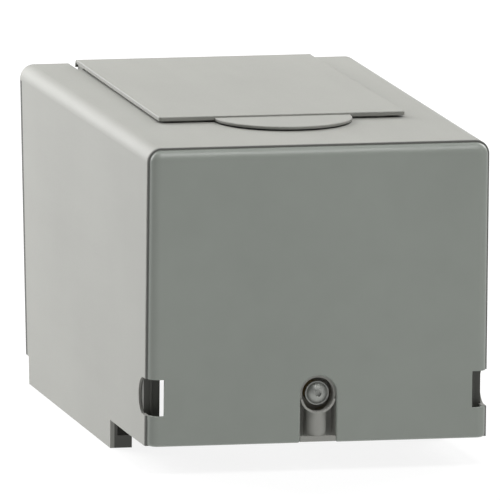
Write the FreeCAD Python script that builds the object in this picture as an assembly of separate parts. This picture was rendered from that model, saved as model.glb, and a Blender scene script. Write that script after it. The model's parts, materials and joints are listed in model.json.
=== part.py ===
"""Meter socket enclosure: a moulded hood with a hatch, and the socket base that it slides over.

Every piece is drawn with X across the width from the middle, Y back from the front face and
Z up from the front panel's lower edge. save() then moves it to the part's own frame, whose
origin is in the middle of the footprint, on the surface that the slide rails stand on.
"""
import FreeCAD
import Part
import math
import os

Vec = FreeCAD.Vector
X_AXIS = Vec(1, 0, 0)
Y_AXIS = Vec(0, 1, 0)
Z_AXIS = Vec(0, 0, 1)
SIDES = {"left": -1, "right": 1}

# hood
width = 200.0
depth = 328.0              # to the back plate's rear face
hood_rear = 327.4          # the hood stops just short of the wall
panel_height = 171.0
skirt_drop = 16.4          # the skirts reach this far below the front panel
skirt_start = 96.0         # the skirts begin this far back
skirt_end = 320.0
wall = 2.5
top_radius = 8.0
side_straight = 40.0       # the side walls are upright this far back, and lean behind it
rear_top_flare = 1.3       # the top is this much wider at the rear, each side
rear_low_tuck = 4.5        # the skirt's lower edge is this much narrower at the rear, each side

# front panel, a little smaller than the hood, and the gasket behind it
panel_inset = 1.2
panel_depth = 6.0
panel_round = 5.8
panel_low_round = 2.0
gasket_inset = 0.15
gasket_end = 7.2
soft_edge = 0.6            # the rounding of cut edges that a finger meets
slot_edge = 1.2            # the rounding of the screw slot's front edge

# windows round the lower front corners
window_low = 17.5
window_high = 38.7
window_in = 10.0           # in from each side edge, on the front face
window_radius = (window_high - window_low) / 2
window_straight = 11.8     # the straight stretch on the side wall before the half circle
window_relief = 1.35       # the side wall is this thin round the window
relief_start = 14.0
relief_end = 35.0
relief_low = 8.0
relief_high = 48.0
post_front = 15.5

# hatch opening, lid and hinge
lid_front = 95.2
lid_front_half = 72.4
lid_rear_half = 70.0
lid_top = panel_height + 3.6
lid_thick = 2.3
lid_thin = 1.6             # over the hinge ears, in the rolled rear edge and in the tab
lid_thin_start = 308.5
cheek_inset = 1.2
cheek_thick = 2.0
cheek_start = 304.5
cheek_low = panel_height - 4.0
tab_radius = 40.0
tab_step = 1.0
hatch_half = 62.0
hatch_front = 101.0
hatch_rear = 290.0
collar_thick = 3.0
collar_height = 0.8
cutout_half = 72.4
cutout_front = 302.0
hinge_y = 316.0
hinge_z = panel_height - 1.0
hinge_pin_radius = 1.25
ear_radius = 2.6
ear_length = 10.0
ear_spots = (-55.0, 0.0, 55.0)
knuckle_length = 41.0
knuckle_spots = (-27.5, 27.5)
pin_half = ear_spots[2] + ear_length / 2 + 2
running_gap = 0.05

# seals on the rear edges of the side walls
seal_start = 323.2
seal_top = panel_height - 9.0

# slide rails and the base's runners over them
rail_leg = 1.8
rail_foot_reach = 12.8     # from the skirt's outer face
rail_foot_height = 7.2
rail_leg_top = -1.5
runner_inner = 83.0
runner_width = 6.0
runner_thick = 3.0
runner_gap = 0.6
runner_start = 170.0

# cover screw in its well
slot_half = 10.5
screw_z = window_low + window_radius
well_cup_inner = 9.2
well_cup_drop = 1.1        # the cup's lower lip is this much below the screw's own circle
well_lip_front = 1.0
well_back = 12.0
well_end = 14.0
pillar_radius = 5.8
pillar_y = 6.6
shank_radius = 2.95
screw_dome_radius = 6.2
screw_dome_front = 0.6
screw_flange_radius = 7.0
screw_flange_front = 3.8
screw_head_base = 5.0
washer_gap = 0.35
washer_thick = 1.0
sleeve_front = 6.7
screw_tip = 38.0
sleeve_end = 17.0
screw_travel = 10.0

# socket base
plate_thick = 3.0
plate_front = depth - plate_thick
plate_half = 90.0
plate_low = -8.0
plate_high = 150.0
mount_hole_radius = 3.25
mount_x = 75.0
mount_low = 12.0
mount_high = 132.0
block_half = 60.0
block_depth = 25.0
block_height = 40.0
line_block_low = 102.0
load_block_low = 40.0
pole_x = 38.0
block_front = plate_front - block_depth
strip_thick = 2.0
lug_size = 16.0
lug_depth = 18.0
lug_bore_radius = 5.5
arm_low = 20.0
arm_high = 36.0
arm_half = 8.0
arm_front = 36.0
arm_wall = 2.0
arm_screw_x = 15.0
neutral_z = 91.0
neutral_front = plate_front - 20.0
neutral_back = plate_front - 8.0
neutral_spots = (-24.0, -12.0, 0.0, 12.0, 24.0)
standoff_x = 30.0
standoff_radius = 4.5
ground_x = 55.0
ground_z = 12.0
ground_front = plate_front - 14.0


def box(x0, x1, y0, y1, z0, z1):
    return Part.makeBox(x1 - x0, y1 - y0, z1 - z0, Vec(x0, y0, z0))


def rod(radius, start, length, axis):
    return Part.makeCylinder(radius, length, Vec(*start), axis)


def fuse(shapes):
    whole = shapes[0]
    for extra in shapes[1:]:
        whole = whole.fuse(extra)
    return whole.removeSplitter()


def cut(shape, tools):
    for tool in tools:
        shape = shape.cut(tool)
    return shape


def rounded_box(x0, x1, y0, y1, z0, z1, radius, axis):
    """A box whose edges along one axis are rounded."""
    shape = box(x0, x1, y0, y1, z0, z1)
    edges = [edge for edge in shape.Edges if edge.tangentAt(edge.FirstParameter).isEqual(axis, 1e-6)
             or edge.tangentAt(edge.FirstParameter).isEqual(axis.negative(), 1e-6)]
    return shape.makeFillet(radius, edges)


def soften(shape, radius, wanted):
    """Rounds the edges that wanted picks out."""
    return shape.makeFillet(radius, [edge for edge in shape.Edges if wanted(edge.BoundBox)])


def save(name, shape):
    solids = shape.Solids
    if not shape.isValid() or not solids:
        raise RuntimeError("bad shape: " + name)
    kept = solids[0] if len(solids) == 1 else Part.makeCompound(solids)
    kept.translate(Vec(0, -depth / 2, skirt_drop))
    kept.exportStep("parts/" + name + ".step")
    print(name, len(solids), round(kept.Volume))


def half_width(y, z):
    """Half the hood's outer width at a depth and a height: straight in front, leaning behind."""
    back = max(y - side_straight, 0) / (depth - side_straight)
    high = width / 2 + rear_top_flare * back
    low = width / 2 - rear_low_tuck * back
    up = (z + skirt_drop) / (panel_height + skirt_drop)
    return low + (high - low) * up


def hood_section(y, inset, z_low):
    """The hood's outline at one depth, moved in by inset, as a closed wire."""
    z_top = panel_height - inset
    radius = max(top_radius - inset, 1.0)
    foot = Vec(half_width(y, z_low) - inset, y, z_low)
    corner = Vec(half_width(y, z_top) - inset, y, z_top)
    side = (foot - corner).normalize()
    across = Vec(-1, 0, 0)
    half_angle = side.getAngle(across) / 2
    reach = radius / math.tan(half_angle)
    low_end = corner + side * reach
    top_end = corner + across * reach
    inward = (side + across).normalize()
    centre = corner + inward * (radius / math.sin(half_angle))
    middle = centre - inward * radius

    def mirrored(point):
        return Vec(-point.x, point.y, point.z)

    edges = [
        Part.LineSegment(foot, low_end).toShape(),
        Part.Arc(low_end, middle, top_end).toShape(),
        Part.LineSegment(top_end, mirrored(top_end)).toShape(),
        Part.Arc(mirrored(top_end), mirrored(middle), mirrored(low_end)).toShape(),
        Part.LineSegment(mirrored(low_end), mirrored(foot)).toShape(),
        Part.LineSegment(mirrored(foot), foot).toShape(),
    ]
    return Part.Wire(edges)


def hood_body(inset, y0, y1, z_low):
    """The solid inside the hood's outline, moved in by inset, between two depths."""
    stretches = []
    if y0 < side_straight:
        length = min(y1, side_straight) - y0
        stretches.append(Part.Face(hood_section(y0, inset, z_low)).extrude(Vec(0, length, 0)))
    if y1 > side_straight:
        ends = [hood_section(max(y0, side_straight), inset, z_low), hood_section(y1, inset, z_low)]
        stretches.append(Part.makeLoft(ends, True, True))
    return fuse(stretches)


def window_tools():
    """Solids that cut both windows out of the front corners."""
    tools = []
    for side in SIDES.values():
        outer = side * (width / 2 + 5)
        inner = side * (width / 2 - window_in)
        x0 = min(outer, inner)
        x1 = max(outer, inner)
        straight = box(x0, x1, -1, window_straight, window_low, window_high)
        arc = rod(window_radius, (x0, window_straight, screw_z), x1 - x0, X_AXIS)
        tools.append(fuse([straight, arc]))
    return tools


def front_panel():
    def outline(inset, low):
        half = width / 2 - inset
        top = panel_height - inset
        radius = top_radius - inset
        shift = radius * (1 - math.sqrt(0.5))
        points = [Vec(half, 0, low), Vec(half, 0, top - radius), Vec(half - shift, 0, top - shift),
                  Vec(half - radius, 0, top)]
        left = [Vec(-p.x, 0, p.z) for p in points]
        return Part.Wire([
            Part.LineSegment(points[0], points[1]).toShape(),
            Part.Arc(points[1], points[2], points[3]).toShape(),
            Part.LineSegment(points[3], left[3]).toShape(),
            Part.Arc(left[3], left[2], left[1]).toShape(),
            Part.LineSegment(left[1], left[0]).toShape(),
            Part.LineSegment(left[0], points[0]).toShape(),
        ])

    def round_rim(shape, radius, low):
        """Rounds the front edges, apart from the one along the bottom."""
        return soften(shape, radius, lambda b: b.YMax < 1e-6 and b.ZMax > low + 1e-6)

    shell = Part.Face(outline(panel_inset, 0)).extrude(Vec(0, panel_depth, 0))
    shell = round_rim(shell, panel_round, 0)
    shell = soften(shell, panel_low_round, lambda b: b.YMax < 1e-6 and b.ZMax < 1e-6)
    hollow = Part.Face(outline(panel_inset + wall, -5)).extrude(Vec(0, panel_depth, 0))
    hollow = round_rim(hollow, panel_round - wall, -5)
    hollow.translate(Vec(0, wall, 0))
    slot = box(-slot_half, slot_half, -1, wall, -1, screw_z)
    arch = rod(slot_half, (0, -1, screw_z), wall + 1, Y_AXIS)
    panel = cut(shell, [hollow, fuse([slot, arch])] + window_tools())
    return soften(panel, slot_edge, lambda b: b.YMax < 1e-6 and b.ZMin > panel_low_round - 1e-3
                  and b.XMin > -slot_half - 1e-3 and b.XMax < slot_half + 1e-3)


def panel_gasket():
    """The dark seal between the front panel and the hood, which shows as a line all round."""
    ring = hood_body(gasket_inset, panel_depth, gasket_end, -1)
    ring = ring.cut(hood_body(panel_inset + wall, panel_depth - 1, gasket_end + 1, -1))
    low = box(-width, width, panel_depth - 1, gasket_end + 1, -5, 0)
    return cut(ring, [low] + window_tools())


def hood():
    shell = hood_body(0, gasket_end, hood_rear, -skirt_drop - 1)
    hollow = hood_body(wall, -5, depth + 5, -skirt_drop - 5)
    under = box(-width, width, -1, depth + 5, -skirt_drop - 5, -skirt_drop)
    low_front = box(-width, width, -1, skirt_start, -skirt_drop - 5, 0)
    low_rear = box(-width, width, skirt_end, depth + 5, -skirt_drop - 5, 0)
    shell = cut(shell, [hollow, under, low_front, low_rear])
    top_low = panel_height - wall
    outer = hatch_half + collar_thick
    collar = rounded_box(-outer, outer, hatch_front - collar_thick, hatch_rear + collar_thick,
                         top_low, panel_height + collar_height, 6.0, Z_AXIS)
    opening = rounded_box(-hatch_half, hatch_half, hatch_front, hatch_rear,
                          top_low - 5, panel_height + 5, 4.0, Z_AXIS)
    rear_gap = rounded_box(-cutout_half, cutout_half, cutout_front, depth + 20,
                           top_low - 5, panel_height + 5, 3.0, Z_AXIS)
    shell = cut(shell.fuse(collar), [opening, rear_gap])
    ears = [hinge_ear(spot) for spot in ear_spots]
    pin_bore = rod(hinge_pin_radius, (-pin_half, hinge_y, hinge_z), 2 * pin_half, X_AXIS)
    reliefs = [window_relief_box(side, 0.0) for side in SIDES.values()]
    seals = [seal_box(side) for side in SIDES.values()]
    return cut(fuse([shell] + ears), [pin_bore] + reliefs + seals + window_tools())


def window_relief_box(side, gap):
    """The shallow pocket inside the side wall round a window, or with a gap the pad that fills it."""
    outer = side * (width / 2 - window_relief - gap)
    inner = side * (width / 2 - wall - 1.5)
    return box(min(outer, inner), max(outer, inner), relief_start + gap, relief_end - gap,
               relief_low + gap, relief_high - gap)


def seal_box(side):
    x0 = min(side * (width / 2 - 10), side * (width / 2 + 5))
    return box(x0, x0 + 15, seal_start, depth, -1, seal_top)


def wall_seal(side):
    """The rubber strip on a side wall's rear edge."""
    strip = hood_body(0, seal_start, hood_rear, -1).cut(hood_body(wall, 0, depth + 5, -2))
    return strip.common(seal_box(side).common(box(-width, width, 0, depth, 0, seal_top)))


def hinge_ear(spot):
    x0 = spot - ear_length / 2
    arm = box(x0, x0 + ear_length, hatch_rear + collar_thick, hinge_y, panel_height - 3.4, panel_height)
    knuckle = rod(ear_radius, (x0, hinge_y, hinge_z), ear_length, X_AXIS)
    return arm.fuse(knuckle)


def hatch_lid():
    corners = [Vec(-lid_front_half, lid_front, 0), Vec(lid_front_half, lid_front, 0),
               Vec(lid_rear_half, hinge_y, 0), Vec(-lid_rear_half, hinge_y, 0)]
    plate = Part.Face(Part.makePolygon(corners + corners[:1])).extrude(Vec(0, 0, lid_thick))
    front_corners = [edge for edge in plate.Edges
                     if edge.Length < lid_thick + 1e-6 and edge.BoundBox.YMax < lid_front + 1e-6]
    plate = plate.makeFillet(2.0, front_corners)
    plate = soften(plate, soft_edge, lambda b: b.ZMin > lid_thick - 1e-3 and b.YMin < hinge_y - 1)
    plate.translate(Vec(0, 0, lid_top - lid_thick))
    thinned = box(-pin_half - 1, pin_half + 1, lid_thin_start, hinge_y + 1, 0, lid_top - lid_thin)
    plate = plate.cut(thinned)
    roll_outer = lid_top - hinge_z
    roll = rod(roll_outer, (-lid_rear_half, hinge_y, hinge_z), 2 * lid_rear_half, X_AXIS)
    roll_start = (-lid_rear_half, hinge_y, hinge_z)
    roll = roll.cut(rod(roll_outer - lid_thin, roll_start, 2 * lid_rear_half, X_AXIS))
    quarter = box(-lid_rear_half, lid_rear_half, hinge_y, hinge_y + 9, hinge_z, lid_top + 1)
    roll = roll.common(quarter)
    knuckles = [rod(roll_outer, (spot - knuckle_length / 2, hinge_y, hinge_z), knuckle_length, X_AXIS)
                for spot in knuckle_spots]
    tab = rod(tab_radius, (0, lid_front, lid_top - tab_step - lid_thin), lid_thin, Z_AXIS)
    tab = soften(tab, soft_edge, lambda b: b.ZMin > lid_top - tab_step - 1e-3)
    tab = tab.common(box(-tab_radius, tab_radius, 0, lid_front + 2, 0, lid_top))
    cheeks = [lid_cheek(side) for side in SIDES.values()]
    bore = rod(hinge_pin_radius + running_gap, (-pin_half, hinge_y, hinge_z), 2 * pin_half, X_AXIS)
    return cut(fuse([plate, roll, tab, stiffening_frame()] + cheeks + knuckles), [bore])


def lid_cheek(side):
    """A small web that closes the end of the lid's rolled rear edge."""
    outer = side * (lid_rear_half - cheek_inset)
    inner = side * (lid_rear_half - cheek_inset - cheek_thick)
    return box(min(outer, inner), max(outer, inner), cheek_start, hinge_y + 2, cheek_low, lid_top - 1)


def stiffening_frame():
    """A shallow frame under the lid, which drops inside the hood's collar."""
    half = hatch_half - 2
    z0 = panel_height - 1.0
    z1 = lid_top - lid_thick / 2
    outer = rounded_box(-half, half, hatch_front + 2, hatch_rear - 6, z0, z1, 3.0, Z_AXIS)
    inner = rounded_box(-half + 2, half - 2, hatch_front + 4, hatch_rear - 8, z0 - 1,
                        lid_top - lid_thick, 2.0, Z_AXIS)
    return outer.cut(inner)


def hinge_pin():
    return rod(hinge_pin_radius, (-pin_half, hinge_y, hinge_z), 2 * pin_half, X_AXIS)


def slide_rail(side):
    y0 = skirt_start
    y1 = skirt_end
    space = hood_body(wall, y0, y1, -skirt_drop - 1)
    behind_leg = hood_body(wall + rail_leg, y0 - 1, y1 + 1, -skirt_drop - 2)
    behind_foot = hood_body(rail_foot_reach, y0 - 1, y1 + 1, -skirt_drop - 2)
    x0 = min(0, side * width)
    x1 = max(0, side * width)
    foot_top = -skirt_drop + rail_foot_height
    leg = space.cut(behind_leg).common(box(x0, x1, y0, y1, -skirt_drop, rail_leg_top))
    foot = space.cut(behind_foot).common(box(x0, x1, y0, y1, -skirt_drop, foot_top))
    return fuse([leg, foot])


def corner_post(side):
    """The upright strip behind a window, with a bead down its front and a pad in the wall's pocket."""
    outer = side * (width / 2 - wall - 0.1)
    inner = side * (width / 2 - window_in - 0.7)
    strip = box(min(outer, inner), max(outer, inner), post_front, post_front + wall, 2.0, 110.0)
    flange_in = side * (width / 2 - wall - 2.1)
    flange = box(min(outer, flange_in), max(outer, flange_in), post_front, post_front + 18, 2.0, 110.0)
    bead = rod(0.8, (side * (width / 2 - 5.8), post_front, 2.0), 108.0, Z_AXIS)
    post = fuse([strip, flange, bead]).common(hood_body(wall, 0, side_straight, -1))
    pad = window_relief_box(side, 0.05).common(box(-width, width, post_front, depth, 0, panel_height))
    return fuse([post, pad])


def screw_well():
    """The arched insert behind the slot: a round cup, a half-round pillar under it and a cross bar."""
    half = slot_half + 2.5
    block = box(-half, half, wall, well_end, 0.6, screw_z)
    block = fuse([block, rod(half, (0, wall, screw_z), well_end - wall, Y_AXIS)])
    lip_z = screw_z - well_cup_drop
    cup = fuse([rod(well_cup_inner, (0, -1, z), well_back + 1, Y_AXIS) for z in (screw_z, lip_z)])
    channel = box(-slot_half, slot_half, wall, well_back, 0, lip_z - 1.0)
    channel = channel.cut(rod(slot_half, (0, wall, lip_z), well_back, Y_AXIS))
    lip = rod(slot_half - 0.1, (0, well_lip_front, lip_z), wall - well_lip_front, Y_AXIS)
    lip = lip.common(box(-slot_half, slot_half, 0, wall, 0, lip_z - 2.0))
    pillar_top = lip_z - well_cup_inner + 0.5
    pillar = fuse([rod(pillar_radius, (0, pillar_y, 0.6), pillar_top - 0.6, Z_AXIS),
                   box(-pillar_radius, pillar_radius, pillar_y, well_back + 0.5, 0.6, pillar_top)])
    bar = box(-slot_half + 0.1, slot_half - 0.1, well_lip_front - 0.4, wall + 1.0, 0.6, 3.6)
    bore = rod(4.6, (0, well_back, screw_z), well_end - well_back, Y_AXIS)
    return cut(fuse([block.cut(channel), lip, pillar, bar]), [cup, bore])


def screw_sleeve():
    boss = rod(6.5, (0, sleeve_front, screw_z), well_back - sleeve_front, Y_AXIS)
    barrel = rod(4.6, (0, well_back, screw_z), sleeve_end - well_back, Y_AXIS)
    bore = rod(shank_radius + running_gap, (0, 0, screw_z), sleeve_end + 1, Y_AXIS)
    return cut(fuse([boss, barrel]), [bore])


def screw_washer():
    disc = rod(6.3, (0, screw_head_base + washer_gap, screw_z), washer_thick, Y_AXIS)
    return disc.cut(rod(shank_radius + running_gap, (0, 0, screw_z), 20, Y_AXIS))


def cover_screw():
    crown = screw_flange_front - screw_dome_front
    sphere_radius = (screw_dome_radius ** 2 + crown ** 2) / (2 * crown)
    dome = Part.makeSphere(sphere_radius, Vec(0, screw_dome_front + sphere_radius, screw_z))
    dome = dome.common(rod(screw_dome_radius, (0, 0, screw_z), screw_head_base - 0.2, Y_AXIS))
    flange_thick = screw_head_base - screw_flange_front
    flange = rod(screw_flange_radius, (0, screw_flange_front, screw_z), flange_thick, Y_AXIS)
    flange = soften(flange, 0.4, lambda b: b.YMax < screw_flange_front + 1e-3)
    shank = rod(shank_radius, (0, screw_head_base - 1, screw_z), screw_tip - screw_head_base + 1, Y_AXIS)
    groove = rod(shank_radius + 1, (0, sleeve_end + screw_travel + 0.5, screw_z), 1.2, Y_AXIS)
    groove = groove.cut(rod(2.2, (0, 0, screw_z), 60, Y_AXIS))
    turns = [math.radians(60 * n) for n in range(7)]
    points = [Vec(1.85 * math.cos(turn), 0, screw_z + 1.85 * math.sin(turn)) for turn in turns]
    socket = Part.Face(Part.makePolygon(points)).extrude(Vec(0, screw_dome_front + 1.7, 0))
    tip_cone = Part.makeCone(shank_radius + 1, shank_radius - 0.8, 1.8,
                             Vec(0, screw_tip - 1.8, screw_z), Y_AXIS)
    tip_ring = rod(shank_radius + 2, (0, screw_tip - 1.8, screw_z), 1.9, Y_AXIS).cut(tip_cone)
    return cut(fuse([dome, flange, shank]), [groove, socket, tip_ring])


def screw_retaining_ring():
    ring = rod(4.4, (0, sleeve_end + screw_travel + 0.6, screw_z), 1.0, Y_AXIS)
    ring = ring.cut(rod(2.2, (0, 0, screw_z), 60, Y_AXIS))
    mouth = box(-1.7, 1.7, 0, 60, screw_z - 6, screw_z)
    return ring.cut(mouth)


def back_plate():
    plate = rounded_box(-plate_half, plate_half, plate_front, plate_front + plate_thick,
                        plate_low, plate_high, 6.0, Y_AXIS)
    holes = [rod(mount_hole_radius, (x, 0, z), depth, Y_AXIS)
             for x in (-mount_x, mount_x) for z in (mount_low, mount_high)]
    return cut(plate, holes + block_screw_shanks() + arm_screw_shanks() + [ground_screw_shank()])


def runner(side):
    """A bar over the rail's foot, with an upright tab that bolts to the back plate."""
    low = -skirt_drop + rail_foot_height + runner_gap
    x0 = min(side * runner_inner, side * (runner_inner + runner_width))
    bar = box(x0, x0 + runner_width, runner_start, plate_front, low, low + runner_thick)
    tab_x0 = min(side * 64.0, side * (runner_inner + runner_width))
    tab_x1 = max(side * 64.0, side * (runner_inner + runner_width))
    foot = box(tab_x0, tab_x1, plate_front - 20, plate_front, low, low + runner_thick)
    tab = box(tab_x0, tab_x1, plate_front - runner_thick, plate_front, low, low + 14)
    return fuse([bar, foot, tab])


def anchor_arm():
    outer = box(-arm_half, arm_half, arm_front, plate_front, arm_low, arm_high)
    hollow = box(-arm_half + arm_wall, arm_half - arm_wall, arm_front + 3, plate_front - 2.5,
                 arm_low - 1, arm_high - arm_wall)
    flange = box(-22, 22, plate_front - 2.5, plate_front, arm_low - 6, arm_high)
    nut_bore = rod(4.5, (0, arm_front - 1, screw_z), 20, Y_AXIS)
    return cut(fuse([outer.cut(hollow), flange]), [nut_bore.common(box(-9, 9, 30, 39, 0, 60))]
               + arm_screw_shanks())


def anchor_nut():
    barrel = rod(4.5, (0, arm_front, screw_z), 3.0, Y_AXIS)
    collar = rod(5.8, (0, arm_front - 5.0, screw_z), 5.0, Y_AXIS)
    bore = rod(shank_radius + running_gap, (0, 0, screw_z), 60, Y_AXIS)
    return cut(fuse([barrel, collar]), [bore])


def arm_screw_shanks():
    start = plate_front - 2.5
    return [rod(2.0, (x, start, 28.0), depth - start, Y_AXIS) for x in (-arm_screw_x, arm_screw_x)]


def arm_screws():
    heads = [rod(3.5, (x, plate_front - 5.1, 28.0), 2.6, Y_AXIS) for x in (-arm_screw_x, arm_screw_x)]
    return Part.makeCompound([fuse([a, b]) for a, b in zip(arm_screw_shanks(), heads)])


def block_screw_spots():
    lows = (load_block_low, line_block_low)
    return [(x, low + block_height / 2) for low in lows for x in (-19.0, 19.0)]


def block_screw_shanks():
    return [rod(2.1, (x, block_front, z), block_depth + plate_thick, Y_AXIS)
            for x, z in block_screw_spots()]


def block_screws():
    heads = [rod(4.0, (x, block_front - 2.6, z), 2.6, Y_AXIS) for x, z in block_screw_spots()]
    return Part.makeCompound([fuse([a, b]) for a, b in zip(block_screw_shanks(), heads)])


def terminal_block(low):
    block = rounded_box(-block_half, block_half, block_front, plate_front,
                        low, low + block_height, 3.0, Y_AXIS)
    return cut(block, block_screw_shanks())


def jaw(x, low, flipped):
    """A spring jaw on a copper strip, which runs on under the cable lug."""
    z0 = low + 3
    z1 = low + block_height - 3
    strip = box(x - 8, x + 8, block_front - strip_thick, block_front, z0, z1)
    jaw_z0 = z1 - 16 if flipped else z0
    blades = []
    for side in (-1, 1):
        near = x + side * 2.0
        far = x + side * 4.0
        blades.append(box(min(near, far), max(near, far), block_front - 28, block_front - strip_thick,
                          jaw_z0, jaw_z0 + 16))
        lip = rod(2.0, (x + side * 4.0, block_front - 28, jaw_z0), 16, Z_AXIS)
        blades.append(lip)
    return fuse([strip] + blades)


def lug_z(low, flipped):
    """The height of a cable lug's middle: at the far end of the strip from the jaw."""
    if flipped:
        return low + 3 + lug_size / 2 - 1
    return low + block_height - 3 - lug_size / 2 + 1


def lug_screw_bore(x, z):
    return rod(4.0, (x, block_front - strip_thick - lug_depth - 2.5, z), 7.0, Y_AXIS)


def cable_lug(x, z):
    y1 = block_front - strip_thick
    half = lug_size / 2
    body = rounded_box(x - half, x + half, y1 - lug_depth, y1, z - half, z + half, 1.5, Z_AXIS)
    bore = rod(lug_bore_radius, (x, y1 - lug_bore_radius - 1.8, z - half), lug_size, Z_AXIS)
    return cut(body, [bore, lug_screw_bore(x, z)])


def lug_screw(x, z):
    y0 = block_front - strip_thick - lug_depth - 2.5
    body = lug_screw_bore(x, z)
    slot = box(x - 4, x + 4, y0, y0 + 1.5, z - 0.6, z + 0.6)
    return body.cut(slot)


def neutral_bar():
    bar = rounded_box(-35, 35, neutral_front, neutral_back, neutral_z - 5.5, neutral_z + 5.5, 1.0, Y_AXIS)
    wires = [rod(2.5, (x, neutral_front + 7.5, neutral_z - 6), 12, Z_AXIS) for x in neutral_spots]
    return cut(bar, wires + neutral_screw_bodies())


def neutral_screw_bodies():
    return [rod(2.4, (x, neutral_front - 2.5, neutral_z), 7.0, Y_AXIS) for x in neutral_spots]


def neutral_screws():
    y0 = neutral_front - 2.5
    slots = [box(x - 3, x + 3, y0, y0 + 1.1, neutral_z - 0.4, neutral_z + 0.4) for x in neutral_spots]
    return Part.makeCompound([body.cut(slot) for body, slot in zip(neutral_screw_bodies(), slots)])


def neutral_standoffs():
    length = plate_front - neutral_back
    return Part.makeCompound([rod(standoff_radius, (x, neutral_back, neutral_z), length, Y_AXIS)
                              for x in (-standoff_x, standoff_x)])


def ground_wire_bore():
    return rod(3.0, (ground_x, ground_front + 5.5, ground_z - 8), 16, Z_AXIS)


def ground_screw_shank():
    length = depth - ground_front
    return rod(2.0, (ground_x, ground_front, ground_z), length, Y_AXIS)


def ground_lug():
    body = rounded_box(ground_x - 7, ground_x + 7, ground_front, plate_front,
                       ground_z - 7, ground_z + 7, 1.5, Z_AXIS)
    return cut(body, [ground_wire_bore(), ground_screw_shank()])


def ground_screw():
    head = rod(3.6, (ground_x, ground_front - 2.6, ground_z), 2.6, Y_AXIS)
    stub = ground_screw_shank().common(rod(2.0, (ground_x, ground_front, ground_z), 2.4, Y_AXIS))
    return fuse([head, stub])


def phase_barrier():
    """A thin insulating wall between the left and right poles, on a foot strip."""
    sheet = rounded_box(-1.25, 1.25, block_front - 31, block_front, 42, 140, 0.6, Y_AXIS)
    foot = box(-5, 5, block_front - 2, block_front, 42, 78)
    foot_high = box(-5, 5, block_front - 2, block_front, 104, 140)
    return fuse([sheet, foot, foot_high])


def main():
    os.makedirs("parts", exist_ok=True)
    save("front_panel", front_panel())
    save("panel_gasket", panel_gasket())
    save("hood", hood())
    save("hatch_lid", hatch_lid())
    save("hinge_pin", hinge_pin())
    for name, side in SIDES.items():
        save(name + "_slide_rail", slide_rail(side))
        save(name + "_corner_post", corner_post(side))
        save(name + "_wall_seal", wall_seal(side))
        save(name + "_runner", runner(side))
        line_z = lug_z(line_block_low, False)
        load_z = lug_z(load_block_low, True)
        save("line_jaw_" + name, jaw(side * pole_x, line_block_low, False))
        save("load_jaw_" + name, jaw(side * pole_x, load_block_low, True))
        save("line_lug_" + name, cable_lug(side * pole_x, line_z))
        save("load_lug_" + name, cable_lug(side * pole_x, load_z))
    save("screw_well", screw_well())
    save("screw_sleeve", screw_sleeve())
    save("screw_washer", screw_washer())
    save("cover_screw", cover_screw())
    save("screw_retaining_ring", screw_retaining_ring())
    save("back_plate", back_plate())
    save("anchor_arm", anchor_arm())
    save("anchor_nut", anchor_nut())
    save("arm_screws", arm_screws())
    save("line_block", terminal_block(line_block_low))
    save("load_block", terminal_block(load_block_low))
    save("block_screws", block_screws())
    save("lug_screws", Part.makeCompound(
        [lug_screw(side * pole_x, z) for side in SIDES.values()
         for z in (lug_z(line_block_low, False), lug_z(load_block_low, True))]))
    save("neutral_bar", neutral_bar())
    save("neutral_screws", neutral_screws())
    save("neutral_standoffs", neutral_standoffs())
    save("ground_lug", ground_lug())
    save("ground_screw", ground_screw())
    save("phase_barrier", phase_barrier())


main()
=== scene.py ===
"""Looks for the meter socket enclosure: camera, soft studio light, floor and procedural materials."""
import json
import math

import bmesh
import bpy
from mathutils import Matrix, Vector


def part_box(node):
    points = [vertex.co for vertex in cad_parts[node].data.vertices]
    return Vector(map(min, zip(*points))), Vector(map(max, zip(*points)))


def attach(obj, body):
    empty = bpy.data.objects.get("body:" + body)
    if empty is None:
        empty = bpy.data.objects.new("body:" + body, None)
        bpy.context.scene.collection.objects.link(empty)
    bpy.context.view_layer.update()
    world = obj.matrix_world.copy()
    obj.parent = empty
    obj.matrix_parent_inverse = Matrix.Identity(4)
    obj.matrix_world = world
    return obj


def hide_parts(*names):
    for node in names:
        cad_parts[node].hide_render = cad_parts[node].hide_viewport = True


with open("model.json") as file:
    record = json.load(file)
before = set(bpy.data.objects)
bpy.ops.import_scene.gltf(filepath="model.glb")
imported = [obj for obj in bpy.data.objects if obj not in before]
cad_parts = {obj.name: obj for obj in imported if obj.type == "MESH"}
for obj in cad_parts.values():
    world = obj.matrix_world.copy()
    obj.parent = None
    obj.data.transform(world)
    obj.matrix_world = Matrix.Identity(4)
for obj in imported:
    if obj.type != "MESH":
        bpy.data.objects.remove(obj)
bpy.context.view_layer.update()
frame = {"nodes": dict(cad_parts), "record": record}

# ---------------------------------------------------------------- camera, lights and floor
CAMERA_AZIMUTH = math.radians(-13.53)
CAMERA_ELEVATION = math.radians(9.17)
CAMERA_ROLL = math.radians(0.62)
CAMERA_DISTANCE = 11.78
CAMERA_LENS = 1474.0
SENSOR = 36.0
LOOK_RIGHT = -0.00486      # the view's centre is this far from the look-at point, in metres
LOOK_UP = 0.00117
FLOOR_HALF = 4.0
FLOOR_SHADE = 0.12
FLOOR_GLOW = 0.88
WORLD_LEVEL = 0.06
WHITE = (1.0, 1.0, 1.0, 1.0)
LIGHT_TARGET = (0.0, 0.0, 0.1)
SOFTBOXES = [              # name, azimuth, elevation, distance, size, level
    ("key_left", -148, 20, 2.6, 1.8, 1.74),
    ("key_right", 132, 28, 2.6, 1.6, 0.72),
    ("front_right", 44, 22, 3.0, 1.2, 0.13),
    ("top_front", 8, 70, 2.6, 1.4, 0.80),
    ("top", 180, 75, 2.4, 1.8, 0.06),
]


def from_front(azimuth, elevation):
    """A unit vector from the object outwards: azimuth 0 is the front, positive to the right."""
    flat = math.cos(elevation)
    return Vector((math.sin(azimuth) * flat, -math.cos(azimuth) * flat, math.sin(elevation)))


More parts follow.
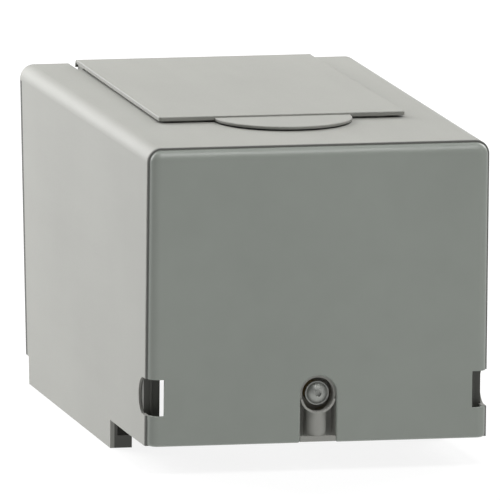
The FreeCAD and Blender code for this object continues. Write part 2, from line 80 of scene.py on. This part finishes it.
def make_camera():
    target = Vector((0.0, -0.014, 0.1024))
    out = from_front(CAMERA_AZIMUTH, CAMERA_ELEVATION)
    level = Vector((math.cos(CAMERA_AZIMUTH), math.sin(CAMERA_AZIMUTH), 0.0))
    upward = out.cross(level)
    right = level * math.cos(CAMERA_ROLL) + upward * math.sin(CAMERA_ROLL)
    up = upward * math.cos(CAMERA_ROLL) - level * math.sin(CAMERA_ROLL)
    data = bpy.data.cameras.new("camera")
    data.sensor_width = SENSOR
    data.lens = CAMERA_LENS
    data.clip_end = 60.0
    data.dof.use_dof = False
    camera = bpy.data.objects.new("camera", data)
    bpy.context.scene.collection.objects.link(camera)
    place = target + out * CAMERA_DISTANCE + right * LOOK_RIGHT + up * LOOK_UP
    turn = Matrix((right, up, out)).transposed().to_4x4()
    camera.matrix_world = Matrix.Translation(place) @ turn
    bpy.context.scene.camera = camera


def softbox(name, azimuth, elevation, distance, size, level):
    """A square area light aimed at the object. Level 1 lights a white card facing it to full white."""
    data = bpy.data.lights.new(name, "AREA")
    data.shape = "SQUARE"
    data.size = size
    data.energy = level * math.pi ** 2 * distance ** 2
    light = bpy.data.objects.new(name, data)
    bpy.context.scene.collection.objects.link(light)
    out = from_front(math.radians(azimuth), math.radians(elevation))
    light.location = Vector(LIGHT_TARGET) + out * distance
    light.rotation_euler = out.to_track_quat("Z", "Y").to_euler()


def make_lights():
    for row in SOFTBOXES:
        softbox(*row)
    world = bpy.data.worlds.new("studio")
    world.use_nodes = True
    background = world.node_tree.nodes["Background"]
    background.inputs["Color"].default_value = WHITE
    background.inputs["Strength"].default_value = WORLD_LEVEL
    bpy.context.scene.world = world
    bpy.context.scene.view_settings.view_transform = "Standard"


def make_floor():
    """A white light-table: it glows softly, so the object's shadow on it stays pale."""
    mesh = bpy.data.meshes.new("floor")
    corners = [(-FLOOR_HALF, -FLOOR_HALF, 0.0), (FLOOR_HALF, -FLOOR_HALF, 0.0),
               (FLOOR_HALF, FLOOR_HALF, 0.0), (-FLOOR_HALF, FLOOR_HALF, 0.0)]
    mesh.from_pydata(corners, [], [(0, 1, 2, 3)])
    floor = bpy.data.objects.new("floor", mesh)
    bpy.context.scene.collection.objects.link(floor)
    material, shader = new_material("floor_paper")[:2]
    shader.inputs["Base Color"].default_value = (FLOOR_SHADE, FLOOR_SHADE, FLOOR_SHADE, 1.0)
    shader.inputs["Roughness"].default_value = 0.9
    shader.inputs["Specular IOR Level"].default_value = 0.1
    shader.inputs["Emission Color"].default_value = WHITE
    shader.inputs["Emission Strength"].default_value = FLOOR_GLOW
    mesh.materials.append(material)


# ---------------------------------------------------------------- materials
def new_material(name):
    material = bpy.data.materials.new(name)
    material.use_nodes = True
    nodes = material.node_tree.nodes
    return material, nodes["Principled BSDF"], nodes, material.node_tree.links


def noise(nodes, links, coordinates, scale, detail=2.0, roughness=0.5):
    texture = nodes.new("ShaderNodeTexNoise")
    texture.inputs["Scale"].default_value = scale
    texture.inputs["Detail"].default_value = detail
    texture.inputs["Roughness"].default_value = roughness
    links.new(coordinates, texture.inputs["Vector"])
    return texture.outputs["Fac"]


def spread(nodes, links, value, low, high):
    """Maps a 0.3 to 0.7 noise value to low to high."""
    ramp = nodes.new("ShaderNodeMapRange")
    ramp.inputs["From Min"].default_value = 0.3
    ramp.inputs["From Max"].default_value = 0.7
    ramp.inputs["To Min"].default_value = low
    ramp.inputs["To Max"].default_value = high
    links.new(value, ramp.inputs["Value"])
    return ramp.outputs["Result"]


def blend_colours(nodes, links, factor, first, second):
    mix = nodes.new("ShaderNodeMix")
    mix.data_type = "RGBA"
    mix.inputs["A"].default_value = (*first, 1.0)
    mix.inputs["B"].default_value = (*second, 1.0)
    links.new(factor, mix.inputs["Factor"])
    return mix.outputs["Result"]


def surface_bump(nodes, links, shader, height, distance, strength=0.35):
    bump = nodes.new("ShaderNodeBump")
    bump.inputs["Strength"].default_value = strength
    bump.inputs["Distance"].default_value = distance
    links.new(height, bump.inputs["Height"])
    links.new(bump.outputs["Normal"], shader.inputs["Normal"])


def object_place(nodes, links, stretch=(1.0, 1.0, 1.0)):
    """Object coordinates, squeezed along each axis by stretch."""
    place = nodes.new("ShaderNodeTexCoord").outputs["Object"]
    mapping = nodes.new("ShaderNodeMapping")
    mapping.inputs["Scale"].default_value = stretch
    links.new(place, mapping.inputs["Vector"])
    return mapping.outputs["Vector"]


def shades(colour, change):
    darker = tuple(channel * (1.0 - change) for channel in colour)
    lighter = tuple(min(channel * (1.0 + change), 1.0) for channel in colour)
    return darker, lighter


def moulded(name, colour, roughness=0.66, grain=0.00004, gloss=0.28):
    """Moulded plastic with a fine spark-eroded grain, a faint drift in colour and flow streaks."""
    material, shader, nodes, links = new_material(name)
    shader.inputs["Specular IOR Level"].default_value = gloss
    place = object_place(nodes, links)
    drift = spread(nodes, links, noise(nodes, links, place, 9.0, 3.0), 0.0, 1.0)
    clouds = blend_colours(nodes, links, drift, *shades(colour, 0.035))
    streaks = noise(nodes, links, object_place(nodes, links, (1.0, 0.12, 1.0)), 60.0, 2.0)
    lift = nodes.new("ShaderNodeHueSaturation")
    links.new(clouds, lift.inputs["Color"])
    links.new(spread(nodes, links, streaks, 0.985, 1.015), lift.inputs["Value"])
    links.new(lift.outputs["Color"], shader.inputs["Base Color"])
    fine = noise(nodes, links, place, 1400.0, 2.0)
    links.new(spread(nodes, links, fine, roughness - 0.05, roughness + 0.05), shader.inputs["Roughness"])
    surface_bump(nodes, links, shader, fine, grain)
    return material


def metal(name, colour, roughness, stretch, scale=260.0, change=0.08, bump=0.00002):
    """Bare or plated metal: drawing marks along one axis, and patches of duller finish."""
    material, shader, nodes, links = new_material(name)
    shader.inputs["Metallic"].default_value = 1.0
    marks = noise(nodes, links, object_place(nodes, links, stretch), scale, 3.0, 0.6)
    patches = noise(nodes, links, object_place(nodes, links), 45.0, 3.0)
    tone = spread(nodes, links, patches, 0.0, 1.0)
    links.new(blend_colours(nodes, links, tone, *shades(colour, change)), shader.inputs["Base Color"])
    rough = nodes.new("ShaderNodeMath")
    rough.operation = "ADD"
    links.new(spread(nodes, links, marks, roughness - 0.07, roughness + 0.07), rough.inputs[0])
    links.new(spread(nodes, links, patches, -0.05, 0.08), rough.inputs[1])
    links.new(rough.outputs["Value"], shader.inputs["Roughness"])
    surface_bump(nodes, links, shader, marks, bump)
    return material


def zinc(name, colour, roughness=0.36):
    """Zinc plate, with the faint crystal spangle of a galvanised sheet."""
    material, shader, nodes, links = new_material(name)
    shader.inputs["Metallic"].default_value = 1.0
    cells = nodes.new("ShaderNodeTexVoronoi")
    cells.inputs["Scale"].default_value = 160.0
    links.new(object_place(nodes, links), cells.inputs["Vector"])
    grey = nodes.new("ShaderNodeSeparateColor")
    links.new(cells.outputs["Color"], grey.inputs["Color"])
    spangle = grey.outputs["Red"]
    links.new(blend_colours(nodes, links, spangle, *shades(colour, 0.06)), shader.inputs["Base Color"])
    ramp = nodes.new("ShaderNodeMapRange")
    ramp.inputs["To Min"].default_value = roughness - 0.06
    ramp.inputs["To Max"].default_value = roughness + 0.08
    links.new(spangle, ramp.inputs["Value"])
    links.new(ramp.outputs["Result"], shader.inputs["Roughness"])
    fine = noise(nodes, links, object_place(nodes, links, (1.0, 0.2, 1.0)), 700.0, 2.0)
    surface_bump(nodes, links, shader, fine, 0.00002)
    return material


def fibre_board(name, colour):
    """Pressed fibre: short mottled strands and a dry surface."""
    material, shader, nodes, links = new_material(name)
    strands = noise(nodes, links, object_place(nodes, links, (1.0, 0.3, 2.2)), 330.0, 4.0, 0.65)
    tone = spread(nodes, links, strands, 0.0, 1.0)
    links.new(blend_colours(nodes, links, tone, *shades(colour, 0.22)), shader.inputs["Base Color"])
    links.new(spread(nodes, links, strands, 0.62, 0.82), shader.inputs["Roughness"])
    surface_bump(nodes, links, shader, strands, 0.00006)
    return material


def make_materials():
    """One material per slot. The front panel gets a darker copy of the grey moulding, painted shade for
    its front face, and its gasket is a paler rubber.
    """
    made = {
        "grey_moulding": moulded("grey_moulding", (0.284, 0.285, 0.264)),
        "dark_moulding": moulded("dark_moulding", (0.085, 0.086, 0.078), 0.5),
        "rubber": moulded("rubber", (0.062, 0.063, 0.058), 0.72, 0.00006),
        "nylon": moulded("nylon", (0.72, 0.70, 0.62), 0.4, 0.00002, 0.5),
        "black_insulator": moulded("black_insulator", (0.028, 0.026, 0.024), 0.28, 0.00002, 0.5),
        "zinc_steel": zinc("zinc_steel", (0.60, 0.60, 0.58)),
        "dull_zinc": zinc("dull_zinc", (0.36, 0.37, 0.35), 0.58),
        "spring_steel": metal("spring_steel", (0.10, 0.105, 0.125), 0.34, (1.0, 0.2, 1.0)),
        "brass": metal("brass", (0.70, 0.50, 0.20), 0.30, (0.15, 1.0, 1.0)),
        "tinned_copper": metal("tinned_copper", (0.66, 0.62, 0.56), 0.38, (1.0, 1.0, 0.12)),
        "aluminium": metal("aluminium", (0.68, 0.69, 0.70), 0.42, (1.0, 1.0, 0.3), 420.0, 0.05, 0.00004),
        "green_screw": metal("green_screw", (0.05, 0.30, 0.11), 0.35, (1.0, 1.0, 1.0)),
        "red_insulator": fibre_board("red_insulator", (0.20, 0.035, 0.02)),
    }
    special = {
        # painted shade: the front-facing panel is a darker copy of the grey moulding
        "front_panel": moulded("panel_moulding_painted_shade", (0.236, 0.256, 0.231), 0.42, 0.00003, 0.5),
        "panel_gasket": moulded("panel_gasket_rubber", (0.150, 0.152, 0.143), 0.7, 0.00006),
    }
    for row in frame["record"]["subparts"]:
        chosen = special.get(row["node"], made[row["material_slot"]])
        for place in frame["nodes"][row["node"]].material_slots:
            place.material = chosen
    return made


# ---------------------------------------------------------------- the threaded cover screw
MM = 0.001
SCREW_SIDES = 48
CREASE_ANGLE = math.radians(32)     # edges sharper than this stay sharp
DOME_STEPS = 12
DOME_FIRST_STEP = 5                # the steps inside this one are the socket
DOME_RADIUS = 6.2
DOME_HEIGHT = 3.2
DOME_SPHERE = (DOME_RADIUS ** 2 + DOME_HEIGHT ** 2) / (2 * DOME_HEIGHT)
SOCKET_RADIUS = 1.85       # to the corners of the hexagon
SOCKET_DEPTH = 1.7
FLANGE_THICK = 1.2
SHANK_RADIUS = 2.95
GROOVE = (26.9, 28.1, 2.2)     # the retaining ring's groove: from, to, radius
THREAD_CORE = 2.45
THREAD_PITCH = 1.0
THREAD_STEPS = 8
TIP_LENGTH = 1.6


def dome_depth(radius):
    return DOME_SPHERE - math.sqrt(DOME_SPHERE ** 2 - radius ** 2)


def hexagon(angle):
    """The socket's radius at an angle."""
    turned = angle % (math.pi / 3) - math.pi / 6
    return SOCKET_RADIUS * math.cos(math.pi / 6) / math.cos(turned)


def thread(angle, along):
    """The screw's radius at an angle and a place along it: a single right-hand vee thread."""
    turns = (along / THREAD_PITCH + angle / (2 * math.pi)) % 1.0
    return THREAD_CORE + (SHANK_RADIUS - THREAD_CORE) * (1.0 - abs(2.0 * turns - 1.0))


def ring(radius, along):
    """One ring of the screw: radius is a number or a function of the angle."""
    angles = [2 * math.pi * side / SCREW_SIDES for side in range(SCREW_SIDES)]
    return [((radius(angle) if callable(radius) else radius), angle, along) for angle in angles]


def screw_rings(length):
    """The rings from the socket's floor over the dome, the flange and the shank to the tip."""
    rings = [ring(lambda angle: hexagon(angle) * 0.5, SOCKET_DEPTH + 0.15),
             ring(hexagon, SOCKET_DEPTH),
             ring(hexagon, dome_depth(SOCKET_RADIUS) + 0.12),
             ring(lambda angle: hexagon(angle) * 1.06, dome_depth(SOCKET_RADIUS * 1.06))]
    for step in range(DOME_FIRST_STEP, DOME_STEPS + 1):
        radius = DOME_RADIUS * step / DOME_STEPS
        rings.append(ring(radius, dome_depth(radius)))
    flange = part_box("cover_screw")[1][0] / MM
    base = DOME_HEIGHT + FLANGE_THICK
    rings += [ring(DOME_RADIUS + 0.15, DOME_HEIGHT), ring(flange - 0.35, DOME_HEIGHT + 0.02),
              ring(flange - 0.1, DOME_HEIGHT + 0.12), ring(flange, DOME_HEIGHT + 0.4),
              ring(flange, base - 0.2), ring(flange - 0.15, base)]
    start, end, groove_radius = GROOVE
    rings += [ring(SHANK_RADIUS + 0.25, base), ring(SHANK_RADIUS, base + 0.3), ring(SHANK_RADIUS, start),
              ring(groove_radius, start), ring(groove_radius, end), ring(THREAD_CORE, end)]
    count = int((length - TIP_LENGTH - end) / THREAD_PITCH * THREAD_STEPS)
    for step in range(1, count + 1):
        along = end + step * THREAD_PITCH / THREAD_STEPS
        rings.append(ring(lambda angle: thread(angle, along), along))
    rings += [ring(THREAD_CORE, length - TIP_LENGTH + 0.1), ring(THREAD_CORE - 0.6, length - 0.1),
              ring(THREAD_CORE - 0.9, length)]
    return rings


def make_cover_screw(material):
    low, high = (Vector(corner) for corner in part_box("cover_screw"))
    centre = (low + high) / 2
    mesh = bpy.data.meshes.new("cover_screw_threaded")
    work = bmesh.new()
    rows = []
    for points in screw_rings((high.y - low.y) / MM):
        rows.append([work.verts.new((centre.x + radius * MM * math.cos(angle), low.y + along * MM,
                                     centre.z + radius * MM * math.sin(angle)))
                     for radius, angle, along in points])
    for front, back in zip(rows, rows[1:]):
        for side in range(SCREW_SIDES):
            after = (side + 1) % SCREW_SIDES
            work.faces.new((front[side], front[after], back[after], back[side]))
    work.faces.new(rows[0])
    work.faces.new(list(reversed(rows[-1])))
    bmesh.ops.recalc_face_normals(work, faces=work.faces)
    work.to_mesh(mesh)
    work.free()
    mesh.shade_smooth()
    mesh.set_sharp_from_angle(angle=CREASE_ANGLE)
    screw = bpy.data.objects.new("cover_screw_threaded", mesh)
    bpy.context.scene.collection.objects.link(screw)
    mesh.materials.append(material)
    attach(screw, "screw")
    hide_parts("cover_screw")


make_camera()
make_lights()
make_floor()
materials = make_materials()
make_cover_screw(materials["dull_zinc"])
